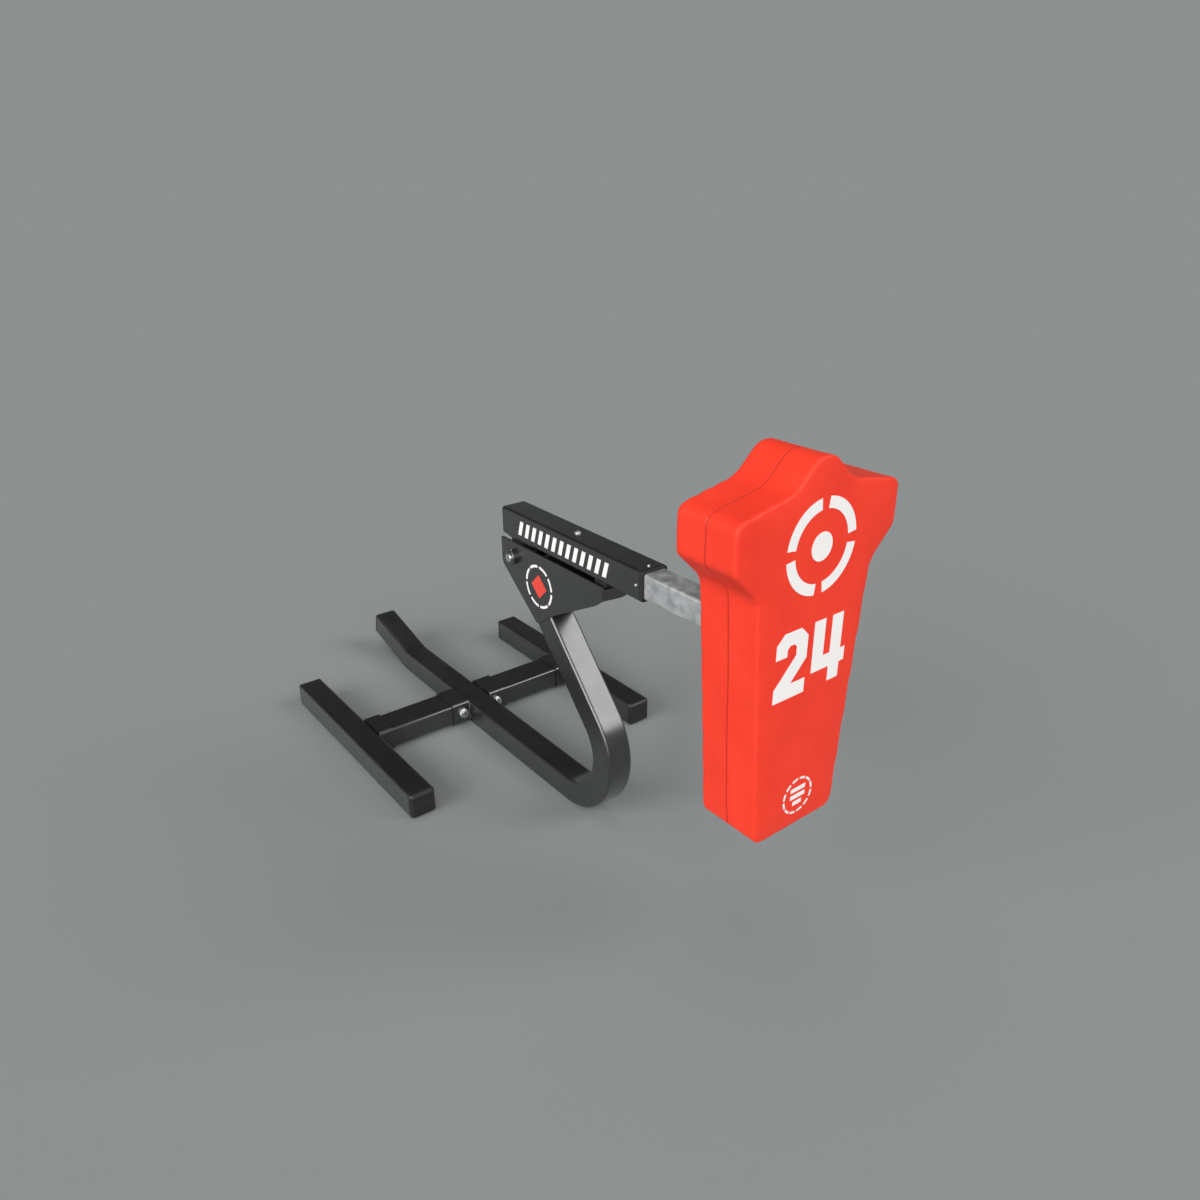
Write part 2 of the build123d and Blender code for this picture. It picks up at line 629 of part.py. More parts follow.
def make_pad_washers():
    """The flat washers under the pad bolt heads."""
    plane = Plane(origin=(PLATE_X - 2.5, 0, 0), x_dir=(0, 1, 0), z_dir=(1, 0, 0))
    ring = plane.location * washer(PAD_BOLT_D, 24, 2.5)
    return Compound([Pos(0, y, z) * ring for y, z in pad_bolt_places()])


def make_pad_nuts():
    """The flanged nuts on the front of the board, sunk in the foam."""
    plane = Plane(
        origin=(PAD_REAR_X + PAD_SKIN + BOARD_THICK, 0, 0), x_dir=(0, 1, 0), z_dir=(1, 0, 0)
    )
    nut = plane.location * (washer(PAD_BOLT_D, 28, 2) + Pos(0, 0, 2) * hex_nut(PAD_BOLT_D, 17, 10))
    return Compound([Pos(0, y, z) * nut for y, z in pad_bolt_places()])


def main():
    os.makedirs("parts", exist_ok=True)
    save(make_center_skid(), "center_skid")
    save(make_tail_cap(), "tail_cap")
    for side, name in ((1, "left"), (-1, "right")):
        save(make_side_skid(side), f"side_skid_{name}")
        save(make_skid_cap(side, 1), f"skid_cap_{name}_front")
        save(make_skid_cap(side, -1), f"skid_cap_{name}_rear")
        save(make_cross_tube(side), f"cross_tube_{name}")
        save(make_receiver(side), f"receiver_{name}")
        save(make_skid_socket(side), f"skid_socket_{name}")
        save(make_gusset(side), f"gusset_plate_{name}")
        save(make_pivot_collar(side), f"pivot_collar_{name}")
        save(make_pivot_bush(side), f"pivot_bush_{name}")
    save(make_outrigger_bolts(), "outrigger_bolts")
    save(make_outrigger_nuts(), "outrigger_nuts")
    save(make_outrigger_washers(), "outrigger_washers")
    save(make_stop_angle(), "stop_angle")
    save(make_stop_bumper(), "stop_bumper")
    save(make_bumper_screws(), "bumper_screws")
    save(make_pivot_pin(), "pivot_pin")
    save(make_collar_screws(), "collar_screws")
    save(make_beam_tube(), "beam_tube")
    save(make_beam_end_plate(), "beam_end_plate")
    save(make_pivot_hanger(), "pivot_hanger")
    save(make_mouth_liner(), "mouth_liner")
    save(make_liner_screws(), "liner_screws")
    save(make_stop_screw(), "stop_screw")
    save(make_spring_seat(), "spring_seat")
    save(make_recoil_spring(), "recoil_spring")
    save(make_arm_tube(), "arm_tube")
    save(make_arm_shoe(), "arm_shoe")
    save(make_pad_plate(), "pad_plate")
    save(make_plate_rib(1), "plate_rib_upper")
    save(make_plate_rib(-1), "plate_rib_lower")
    save(make_backing_board(), "backing_board")
    save(make_pad_core(), "pad_core")
    save(make_pad_cover(False), "pad_cover_rear")
    save(make_pad_cover(True), "pad_cover_front")
    save(make_pad_bolts(), "pad_bolts")
    save(make_pad_washers(), "pad_washers")
    save(make_pad_nuts(), "pad_nuts")


if __name__ == "__main__":
    main()
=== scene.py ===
import json
import logging
import math
from dataclasses import dataclass
from enum import Enum

import bpy
import numpy as np
from mathutils import Euler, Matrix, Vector
from mathutils.bvhtree import BVHTree


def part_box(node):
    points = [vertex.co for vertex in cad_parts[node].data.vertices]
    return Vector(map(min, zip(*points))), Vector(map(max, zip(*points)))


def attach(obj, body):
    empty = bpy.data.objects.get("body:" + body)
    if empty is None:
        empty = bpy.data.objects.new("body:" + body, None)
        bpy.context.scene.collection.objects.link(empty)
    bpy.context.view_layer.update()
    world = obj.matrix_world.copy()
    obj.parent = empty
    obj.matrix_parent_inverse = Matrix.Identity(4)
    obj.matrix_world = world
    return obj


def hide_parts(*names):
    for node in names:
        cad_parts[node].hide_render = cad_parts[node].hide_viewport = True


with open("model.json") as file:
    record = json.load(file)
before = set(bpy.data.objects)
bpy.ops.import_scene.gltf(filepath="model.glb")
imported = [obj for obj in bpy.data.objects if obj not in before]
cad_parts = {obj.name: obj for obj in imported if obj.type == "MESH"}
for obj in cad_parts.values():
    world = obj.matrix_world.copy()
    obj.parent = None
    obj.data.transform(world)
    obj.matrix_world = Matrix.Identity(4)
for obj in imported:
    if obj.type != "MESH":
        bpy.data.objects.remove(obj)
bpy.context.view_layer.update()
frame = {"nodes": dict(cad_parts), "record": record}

log = logging.getLogger("blocking_sled")

Point = tuple[float, float, float]
Flat = tuple[float, float]
Colour = tuple[float, float, float]

MM = 0.001
MERGE = 0.00001  # metres within which two points are one


class Body(Enum):
    """The three bodies of the sled that move against each other."""

    FRAME = "frame"
    BEAM = "beam"
    ARM = "arm"


class Side(Enum):
    """The two sides of the sled, as the sign of Y."""

    LEFT = 1
    RIGHT = -1


def use(obj: bpy.types.Object) -> None:
    """Make one object the only selected and the active one.

    Args:
        obj: The object to work on.
    """
    bpy.ops.object.select_all(action="DESELECT")
    obj.select_set(True)
    bpy.context.view_layer.objects.active = obj


def apply_modifier(obj: bpy.types.Object, kind: str, **settings: object) -> None:
    """Add one modifier to an object and apply it.

    Args:
        obj: The object to change.
        kind: Blender's name for the modifier type.
        settings: Values for the modifier's own fields.
    """
    use(obj)
    modifier = obj.modifiers.new(kind.lower(), kind)
    for key, value in settings.items():
        setattr(modifier, key, value)
    bpy.ops.object.modifier_apply(modifier=modifier.name)


def recalculate(obj: bpy.types.Object) -> None:
    """Point every face of a closed piece outwards.

    Args:
        obj: The piece.
    """
    use(obj)
    bpy.ops.object.mode_set(mode="EDIT")
    bpy.ops.mesh.select_all(action="SELECT")
    bpy.ops.mesh.normals_make_consistent(inside=False)
    bpy.ops.object.mode_set(mode="OBJECT")


def smooth(obj: bpy.types.Object, degrees: float = 32.0) -> None:
    """Shade an object smooth, with an edge wherever faces turn by more than the angle."""
    use(obj)
    bpy.ops.object.shade_smooth_by_angle(angle=math.radians(degrees))


def polygon(name: str, points: list[Point]) -> bpy.types.Object:
    """Make an object with one flat face.

    Args:
        name: The object's name.
        points: The corners of the face, in order.

    Returns:
        The new object.
    """
    mesh = bpy.data.meshes.new(name)
    mesh.from_pydata(points, [], [list(range(len(points)))])
    obj = bpy.data.objects.new(name, mesh)
    bpy.context.scene.collection.objects.link(obj)
    return obj


def joined(name: str, pieces: list[bpy.types.Object]) -> bpy.types.Object:
    """Join several objects into one.

    Args:
        name: The name of the joined object.
        pieces: The objects, which are used up.

    Returns:
        The joined object.
    """
    bpy.ops.object.select_all(action="DESELECT")
    for piece in pieces:
        piece.select_set(True)
    bpy.context.view_layer.objects.active = pieces[0]
    if len(pieces) > 1:
        bpy.ops.object.join()
    pieces[0].name = name
    pieces[0].data.name = name
    return pieces[0]


def settle(obj: bpy.types.Object) -> None:
    """Bake an object's own place, turn and size into its mesh."""
    use(obj)
    bpy.ops.object.transform_apply(location=True, rotation=True, scale=True)


def hand_over(
    obj: bpy.types.Object, body: Body, finish: bpy.types.Material
) -> bpy.types.Object:
    """Give a finished piece its material and the body that it moves with.

    Args:
        obj: The piece.
        body: The body that carries it.
        finish: The material.

    Returns:
        The same piece.
    """
    obj.data.materials.clear()
    obj.data.materials.append(finish)
    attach(obj, body.value)
    log.info("%s rides on %s, %d faces", obj.name, body.value, len(obj.data.polygons))
    return obj


class Wiring:
    """Builds one node material step by step.

    Attributes:
        material: The material being built.
        tree: Its node tree.
        shader: Its Principled BSDF node.
        place: The coordinates that its patterns follow.
    """

    def __init__(self, name: str) -> None:
        """Start a new material with its shader."""
        self.material = bpy.data.materials.new(name)
        self.material.use_nodes = True
        self.tree = self.material.node_tree
        self.shader = self.tree.nodes["Principled BSDF"]
        self.place = self.tree.nodes.new("ShaderNodeTexCoord").outputs["Object"]

    def value(self, **sockets: float | tuple) -> None:
        """Set plain values on the shader's own sockets; underscores stand for spaces."""
        for key, amount in sockets.items():
            self.shader.inputs[key.replace("_", " ")].default_value = amount

    def noise(self, scale: float, detail: float = 4.0, rough: float = 0.55) -> bpy.types.NodeSocket:
        """Add a noise pattern on the object's own coordinates.

        Args:
            scale: Cells per metre.
            detail: Octaves of finer noise.
            rough: How strong the finer octaves are.

        Returns:
            The pattern's factor socket.
        """
        node = self.tree.nodes.new("ShaderNodeTexNoise")
        node.inputs["Scale"].default_value = scale
        node.inputs["Detail"].default_value = detail
        node.inputs["Roughness"].default_value = rough
        self.tree.links.new(self.place, node.inputs["Vector"])
        return node.outputs["Fac"]

    def cells(self, scale: float) -> tuple[bpy.types.NodeSocket, bpy.types.NodeSocket]:
        """Add a cell pattern on the object's own coordinates.

        Args:
            scale: Cells per metre.

        Returns:
            Sockets with the distance to the cell's middle and with the cell's colour.
        """
        node = self.tree.nodes.new("ShaderNodeTexVoronoi")
        node.inputs["Scale"].default_value = scale
        self.tree.links.new(self.place, node.inputs["Vector"])
        return node.outputs["Distance"], node.outputs["Color"]

    def ramp(
        self, source: bpy.types.NodeSocket, low: tuple, high: tuple, start: float = 0.3, end: float = 0.7
    ) -> bpy.types.NodeSocket:
        """Turn a factor into a blend between two colours.

        Args:
            source: The factor socket.
            low: Colour at and below start.
            high: Colour at and above end.
            start: Factor where the blend starts.
            end: Factor where it ends.

        Returns:
            The blended colour's socket.
        """
        node = self.tree.nodes.new("ShaderNodeValToRGB")
        node.color_ramp.elements[0].position = start
        node.color_ramp.elements[1].position = end
        node.color_ramp.elements[0].color = (*low, 1.0)
        node.color_ramp.elements[1].color = (*high, 1.0)
        self.tree.links.new(source, node.inputs["Fac"])
        return node.outputs["Color"]

    def grey(
        self, source: bpy.types.NodeSocket, low: float, high: float, start: float = 0.3, end: float = 0.7
    ) -> bpy.types.NodeSocket:
        """Turn a factor into a blend between two grey levels, as ramp does."""
        return self.ramp(source, (low,) * 3, (high,) * 3, start, end)

    def mix(
        self, factor: bpy.types.NodeSocket, first: bpy.types.NodeSocket, second: bpy.types.NodeSocket
    ) -> bpy.types.NodeSocket:
        """Blend two colours.

        Args:
            factor: The share of the second colour.
            first: The first colour's socket.
            second: The second colour's socket.

        Returns:
            The blended colour's socket.
        """
        node = self.tree.nodes.new("ShaderNodeMix")
        node.data_type = "RGBA"
        self.tree.links.new(factor, node.inputs[0])
        self.tree.links.new(first, node.inputs[6])
        self.tree.links.new(second, node.inputs[7])
        return node.outputs[2]

    def height(self) -> bpy.types.NodeSocket:
        """Return the object's own Z as a socket."""
        node = self.tree.nodes.new("ShaderNodeSeparateXYZ")
        self.tree.links.new(self.place, node.inputs["Vector"])
        return node.outputs["Z"]

    def off_plane(self, at: float) -> bpy.types.NodeSocket:
        """Measure how far the surface is from an upright plane across the sled.

        Args:
            at: The plane's X.

        Returns:
            The distance's socket.
        """
        split = self.tree.nodes.new("ShaderNodeSeparateXYZ")
        self.tree.links.new(self.place, split.inputs["Vector"])
        less = self.tree.nodes.new("ShaderNodeMath")
        less.operation = "SUBTRACT"
        less.inputs[1].default_value = at
        self.tree.links.new(split.outputs["X"], less.inputs[0])
        away = self.tree.nodes.new("ShaderNodeMath")
        away.operation = "ABSOLUTE"
        self.tree.links.new(less.outputs["Value"], away.inputs[0])
        return away.outputs["Value"]

    def feed(self, source: bpy.types.NodeSocket, socket: str) -> None:
        """Link a pattern to one of the shader's own sockets."""
        self.tree.links.new(source, self.shader.inputs[socket])

    def bump(self, source: bpy.types.NodeSocket, strength: float, depth: float) -> None:
        """Raise the surface by a pattern, over any bump that is there already.

        Args:
            source: The height pattern.
            strength: How strongly it shows.
            depth: Its real depth in metres.
        """
        node = self.tree.nodes.new("ShaderNodeBump")
        node.inputs["Strength"].default_value = strength
        node.inputs["Distance"].default_value = depth
        self.tree.links.new(source, node.inputs["Height"])
        earlier = self.shader.inputs["Normal"].links
        if earlier:
            self.tree.links.new(earlier[0].from_socket, node.inputs["Normal"])
        self.tree.links.new(node.outputs["Normal"], self.shader.inputs["Normal"])


@dataclass(frozen=True)
class PowderCoat:
    """Black powder coat over steel, with orange peel and scuffs where it meets the turf."""

    name: str = "black_powder_coat"
    black: Colour = (0.0075, 0.0075, 0.0078)
    worn: Colour = (0.0125, 0.0125, 0.013)
    scuff: Colour = (0.11, 0.105, 0.10)
    scuff_height: float = 0.004
    peel_scale: float = 420.0

    def build(self) -> bpy.types.Material:
        """Wire the material."""
        w = Wiring(self.name)
        w.value(Metallic=0.0, IOR=1.72, Coat_Weight=1.0, Coat_Roughness=0.24)
        coat = w.ramp(w.noise(scale=11.0, detail=6.0), self.black, self.worn)
        scratches = w.noise(scale=160.0, detail=5.0, rough=0.7)
        scraped = w.ramp(scratches, self.black, self.scuff, start=0.52, end=0.66)
        near_ground = w.grey(w.height(), low=1.0, high=0.0, start=0.0, end=self.scuff_height)
        w.feed(w.mix(near_ground, coat, scraped), "Base Color")
        w.feed(w.grey(w.noise(scale=24.0, detail=5.0), low=0.26, high=0.34), "Roughness")
        w.bump(w.noise(self.peel_scale, detail=2.0), strength=0.10, depth=0.0003)
        return w.material


@dataclass(frozen=True)
class Galvanised:
    """Hot-dip zinc with soft spangle and cloudy patches."""

    name: str = "galvanised_steel"
    dull: Colour = (0.40, 0.415, 0.42)
    bright: Colour = (0.70, 0.715, 0.72)
    spangle: float = 38.0

    def build(self) -> bpy.types.Material:
        """Wire the material."""
        w = Wiring(self.name)
        w.value(Metallic=0.75)
        _, colour = w.cells(self.spangle)
        crystals = w.ramp(colour, self.dull, self.bright, start=0.05, end=0.95)
        patches = w.noise(scale=17.0, detail=6.0, rough=0.6)
        clouds = w.ramp(patches, self.dull, self.bright, start=0.36, end=0.62)
        streaks = w.grey(w.noise(scale=60.0), low=0.3, high=0.75)
        w.feed(w.mix(streaks, crystals, clouds), "Base Color")
        w.feed(w.grey(w.noise(scale=34.0, detail=5.0), low=0.36, high=0.6), "Roughness")
        w.bump(w.noise(scale=240.0), strength=0.18, depth=0.0003)
        return w.material


@dataclass(frozen=True)
class BareMetal:
    """Plated or turned steel, as on pins, bolts and washers."""

    name: str
    dark: Colour
    light: Colour
    rough_low: float = 0.24
    rough_high: float = 0.42
    grain: float = 700.0

    def build(self) -> bpy.types.Material:
        """Wire the material."""
        w = Wiring(self.name)
        w.value(Metallic=1.0)
        w.feed(w.ramp(w.noise(scale=90.0, detail=5.0), self.dark, self.light), "Base Color")
        w.feed(w.grey(w.noise(scale=150.0), self.rough_low, self.rough_high), "Roughness")
        w.bump(w.noise(self.grain, detail=3.0), strength=0.15, depth=0.0002)
        return w.material


@dataclass(frozen=True)
class Moulded:
    """Moulded plastic or rubber with a fine spark-eroded grain."""

    name: str
    dark: Colour
    light: Colour
    roughness: float = 0.5
    grain: float = 900.0
    depth: float = 0.0003
    rough_spread: float = 0.07

    def build(self) -> bpy.types.Material:
        """Wire the material."""
        w = Wiring(self.name)
        w.feed(w.ramp(w.noise(scale=28.0, detail=5.0), self.dark, self.light), "Base Color")
        smoothest, roughest = self.roughness - self.rough_spread, self.roughness + self.rough_spread
        w.feed(w.grey(w.noise(scale=70.0), smoothest, roughest), "Roughness")
        w.bump(w.noise(self.grain, detail=3.0), strength=0.25, depth=self.depth)
        return w.material


def pad_middle() -> float:
    """Return the X of the plane where the two halves of the pad's skin meet."""
    return (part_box("pad_cover_rear")[0][0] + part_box("pad_cover_front")[1][0]) / 2


@dataclass(frozen=True)
class PadSkin:
    """The pad's orange-red moulded skin: satin, faintly mottled, with a leather-like grain and painted
    shade along the seam's groove.

    Attributes:
        name: The material's name.
        deep: The skin's deeper colour.
        light: Its lighter colour.
        seam: The colour of the painted shade in the seam's groove.
        seam_dark: How far from the seam's middle the painted shade is at its darkest.
        seam_faded: How far from the seam's middle the painted shade has faded.
    """

    name: str = "pad_skin"
    deep: Colour = (0.78, 0.036, 0.016)
    light: Colour = (0.86, 0.046, 0.020)
    # Painted shade: the colour the skin darkens to in the seam's groove.
    seam: Colour = (0.20, 0.008, 0.005)
    seam_dark: float = 0.0012
    seam_faded: float = 0.0027

    def build(self) -> bpy.types.Material:
        """Wire the material."""
        w = Wiring(self.name)
        w.value(Specular_IOR_Level=0.3)
        mottled = w.ramp(w.noise(scale=9.0, detail=6.0, rough=0.6), self.deep, self.light)
        # Painted shade: a narrow band along the seam's groove is darkened towards the seam colour.
        off_seam = w.off_plane(pad_middle())
        seam = w.ramp(off_seam, self.seam, self.deep, self.seam_dark, self.seam_faded)
        beside = w.grey(off_seam, 0.0, 1.0, self.seam_dark, self.seam_faded)
        w.feed(w.mix(beside, seam, mottled), "Base Color")
        w.feed(w.grey(w.noise(scale=22.0, detail=5.0), low=0.42, high=0.54), "Roughness")
        grain, _ = w.cells(scale=520.0)
        w.bump(grain, strength=0.16, depth=0.0005)
        w.bump(w.noise(scale=14.0, detail=3.0), strength=0.08, depth=0.004)
        return w.material


@dataclass(frozen=True)
class Print:
    """Flexible ink or vinyl film, with thin spots and a slight texture."""

    name: str
    ink: Colour
    thin: Colour

    def build(self) -> bpy.types.Material:
        """Wire the material."""
        w = Wiring(self.name)
        wear = w.noise(scale=180.0, detail=6.0, rough=0.7)
        w.feed(w.ramp(wear, self.thin, self.ink, start=0.22, end=0.36), "Base Color")
        w.feed(w.grey(w.noise(scale=60.0), low=0.38, high=0.52), "Roughness")
        w.bump(w.noise(scale=600.0, detail=3.0), strength=0.12, depth=0.0002)
        return w.material


@dataclass(frozen=True)
class Plywood:
    """Plywood with long grain, for the board inside the pad."""

    name: str = "board_plywood"
    early: Colour = (0.52, 0.36, 0.20)
    late: Colour = (0.36, 0.22, 0.11)
    along_grain: float = 0.08

    def build(self) -> bpy.types.Material:
        """Wire the material."""
        w = Wiring(self.name)
        stretch = w.tree.nodes.new("ShaderNodeMapping")
        stretch.inputs["Scale"].default_value = (1.0, 1.0, self.along_grain)
        w.tree.links.new(w.place, stretch.inputs["Vector"])
        w.place = stretch.outputs["Vector"]
        rings = w.noise(scale=120.0, detail=6.0, rough=0.6)
        w.feed(w.ramp(rings, self.early, self.late, start=0.4, end=0.6), "Base Color")
        w.value(Roughness=0.7)
        w.bump(w.noise(scale=300.0), strength=0.3, depth=0.0004)
        return w.material


class Finishes:
    """Every material of the sled, built once and kept by its slot."""

    def __init__(self) -> None:
        """Build the materials."""
        made = [
            PowderCoat(),
            Galvanised(),
            BareMetal("zinc_hardware", (0.58, 0.59, 0.60), (0.78, 0.79, 0.80)),
            BareMetal("pin_steel", (0.62, 0.63, 0.64), (0.84, 0.84, 0.85), 0.2, 0.34),
            BareMetal("spring_steel", (0.16, 0.165, 0.17), (0.26, 0.265, 0.27), 0.35, 0.5),
            Moulded("cap_plastic", (0.010, 0.010, 0.010), (0.018, 0.018, 0.018), roughness=0.42),
            Moulded("liner_plastic", (0.010, 0.010, 0.010), (0.02, 0.02, 0.02), roughness=0.55),
            Moulded("bush_plastic", (0.02, 0.02, 0.02), (0.05, 0.05, 0.05)),
            Moulded("stop_rubber", (0.008, 0.008, 0.008), (0.02, 0.02, 0.02), roughness=0.75),
            PadSkin(),
            Moulded("pad_foam", (0.62, 0.58, 0.46), (0.74, 0.70, 0.58), 0.9, grain=500.0, depth=0.001),
            Plywood(),
            Print("white_print", (0.86, 0.83, 0.81), (0.80, 0.62, 0.58)),
            Print("red_print", (0.72, 0.06, 0.04), (0.5, 0.04, 0.03)),
        ]
        self.by_name = {finish.name: finish.build() for finish in made}

    def __getitem__(self, name: str) -> bpy.types.Material:
        """Return a material by its name."""
        return self.by_name[name]

    def dress_cad(self) -> None:
        """Give every CAD node the finish of its slot."""
        for sub in frame["record"]["subparts"]:
            obj = frame["nodes"][sub["node"]]
            obj.data.materials.clear()
            obj.data.materials.append(self[sub["material_slot"]])


@dataclass
class Refinisher:
    """Makes clean, edge-rounded pieces from the tubes, plates and fittings of the frame.

    Attributes:
        finishes: The sled's materials.
        edge: Width of the rounding on sharp edges, in metres.
        fine_edge: Width of the rounding on small fittings.
        sharp: Angle above which an edge is rounded, in degrees.
        flat: Angle under which two faces are made one, in degrees.
    """

    finishes: Finishes
    edge: float = 0.0007
    fine_edge: float = 0.0003
    sharp: float = 40.0
    flat: float = 0.4

    def piece(self, node: str, body: Body, small: bool = False) -> bpy.types.Object:
        """Make the finished piece for one CAD node.

        Args:
            node: The CAD node that it stands for.
            body: The body that carries it.
            small: Whether it is a small fitting with fine edges.

        Returns:
            The finished piece.
        """
        mesh = frame["nodes"][node].data.copy()
        obj = bpy.data.objects.new(f"{node}_finished", mesh)
        bpy.context.scene.collection.objects.link(obj)
        use(obj)
        bpy.ops.object.mode_set(mode="EDIT")
        bpy.ops.mesh.select_all(action="SELECT")
        bpy.ops.mesh.remove_doubles(threshold=MERGE)
        bpy.ops.mesh.dissolve_limited(angle_limit=math.radians(self.flat))
        bpy.ops.object.mode_set(mode="OBJECT")
        apply_modifier(
            obj, "BEVEL", width=self.fine_edge if small else self.edge, segments=2,
            limit_method="ANGLE", angle_limit=math.radians(self.sharp), use_clamp_overlap=True,
        )
        smooth(obj)
        apply_modifier(obj, "WEIGHTED_NORMAL", mode="FACE_AREA", keep_sharp=True)
        slot = next(s["material_slot"] for s in frame["record"]["subparts"] if s["node"] == node)
        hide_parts(node)
        return hand_over(obj, body, self.finishes[slot])


@dataclass(frozen=True)
class Seam:
    """One straight run of weld.

    Attributes:
        start: Where the run starts, in metres.
        end: Where it ends.
    """

    start: Point
    end: Point


@dataclass
class Welds:
    """The rippled beads where the steel pieces are welded.

    Attributes:
        finishes: The sled's materials.
        ripple: Distance from one ripple to the next.
        radius: Radius of the bead.
    """

    finishes: Finishes
    ripple: float = 0.0026
    radius: float = 0.0027

    def run(self, seam: Seam) -> bpy.types.Object:
        """Lay one bead as a row of overlapping ripples.

        Args:
            seam: Where the bead runs.

        Returns:
            The bead as one object.
        """
        way = Vector(seam.end) - Vector(seam.start)
        count = max(2, round(way.length / self.ripple))
        bpy.ops.object.select_all(action="DESELECT")
        bpy.ops.mesh.primitive_ico_sphere_add(subdivisions=2, radius=self.radius, location=seam.start)
        obj = bpy.context.active_object
        settle(obj)
        step = way / count
        apply_modifier(
            obj, "ARRAY", count=count + 1, use_relative_offset=False,
            use_constant_offset=True, constant_offset_displace=step,
        )
        return obj

    def lay(self, name: str, body: Body, slot: str, seams: list[Seam]) -> bpy.types.Object:
        """Lay several beads that ride on one body.

        Args:
            name: The piece's name.
            body: The body that carries it.
            slot: Its material slot.
            seams: The runs of weld.

        Returns:
            The beads as one piece.
        """
        piece = joined(name, [self.run(seam) for seam in seams])
        smooth(piece, 60.0)
        return hand_over(piece, body, self.finishes[slot])


@dataclass
class SledFrame:
    """The welded and bolted frame: centre skid, outriggers, bracket and stop.

    Attributes:
        finishes: The sled's materials.
        weld_off: How far a weld's line stands off the face that it runs along.
        sleeve_off: How far it stands off a receiver's or a socket's side.
        weld_inset: How far a weld stops short of a corner.
        weld_top: How high the welds beside the sleeves go.
        upright_weld: Both ends of the weld across the upright, as (x, z).
        film: Thickness of a printed film.
        mark_place: Middle of the marks on the bracket plates, as (x, z).
        ring_outer: Outer radius of the dashed ring.
        ring_inner: Its inner radius.
        square_reach: Distance from the square's middle to its corners.
    """

    finishes: Finishes
    weld_off: float = 0.001
    sleeve_off: float = 0.0003
    weld_inset: float = 0.009
    weld_top: float = 0.070
    upright_weld: tuple[Flat, Flat] = ((0.4765, 0.5205), (0.5245, 0.5530))
    film: float = 0.0003
    mark_place: Flat = (0.487, 0.630)
    ring_outer: float = 0.060
    ring_inner: float = 0.053
    square_reach: float = 0.034

    def build(self) -> None:
        """Finish every visible piece of the frame and lay its welds."""
        make = Refinisher(self.finishes)
        nodes = ["center_skid", "tail_cap", "stop_angle", "stop_bumper", "pivot_pin"]
        for side in ("left", "right"):
            nodes += [f"side_skid_{side}", f"cross_tube_{side}", f"receiver_{side}"]
            nodes += [f"skid_socket_{side}", f"gusset_plate_{side}", f"pivot_collar_{side}"]
            nodes += [f"skid_cap_{side}_front", f"skid_cap_{side}_rear"]
        for node in nodes:
            make.piece(node, Body.FRAME)
        for node in ("outrigger_bolts", "outrigger_nuts", "outrigger_washers"):
            make.piece(node, Body.FRAME, small=True)
        seams = self.upright_seams() + self.sleeve_seams()
        Welds(self.finishes).lay("frame_welds", Body.FRAME, "black_powder_coat", seams)
        self.bracket_marks()

    def bracket_marks(self) -> None:
        """Put a white dashed ring with a red square in it on the outside of both bracket plates."""
        marks = Marks()
        ring = marks.ring(self.mark_place, self.ring_outer, self.ring_inner, parts=8)
        square = [marks.spot(self.mark_place, self.square_reach, math.radians(90 * k)) for k in range(4)]
        for name, shapes, finish in (
            ("bracket_rings", ring, "white_print"),
            ("bracket_squares", [square], "red_print"),
        ):
            pieces = []
            for side in Side:
                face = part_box(f"gusset_plate_{side.name.lower()}")[side is Side.LEFT][1]
                y = face + side.value * self.film / 2
                pieces += [polygon("mark", [(x, y, z) for x, z in shape]) for shape in shapes]
            obj = joined(name, pieces)
            apply_modifier(obj, "SOLIDIFY", thickness=self.film, offset=0.0)
            recalculate(obj)
            hand_over(obj, Body.FRAME, self.finishes[finish])

    def upright_seams(self) -> list[Seam]:
        """Return the runs of weld under the two bracket plates, across the upright."""
        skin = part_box("center_skid")[1][1] + self.weld_off
        (x0, z0), (x1, z1) = self.upright_weld
        return [Seam((x0, side.value * skin, z0), (x1, side.value * skin, z1)) for side in Side]

    def sleeve_seams(self) -> list[Seam]:
        """Work out the welds of the receivers and the skid sockets.

        Returns:
            Two upright runs and a level one beside each sleeve.
        """
        seams = []
        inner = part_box("center_skid")[1][1] + self.weld_off
        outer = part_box("side_skid_left")[0][1] - self.weld_off
        (x0, _, low), (x1, _, _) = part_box("receiver_left")
        x0 -= self.sleeve_off
        x1 += self.sleeve_off
        for side in Side:
            for y in (side.value * inner, side.value * outer):
                for x in (x0, x1):
                    seams.append(Seam((x, y, low + self.weld_inset), (x, y, self.weld_top)))
                seams.append(Seam((x0 + self.weld_inset, y, low), (x1 - self.weld_inset, y, low)))
        return seams


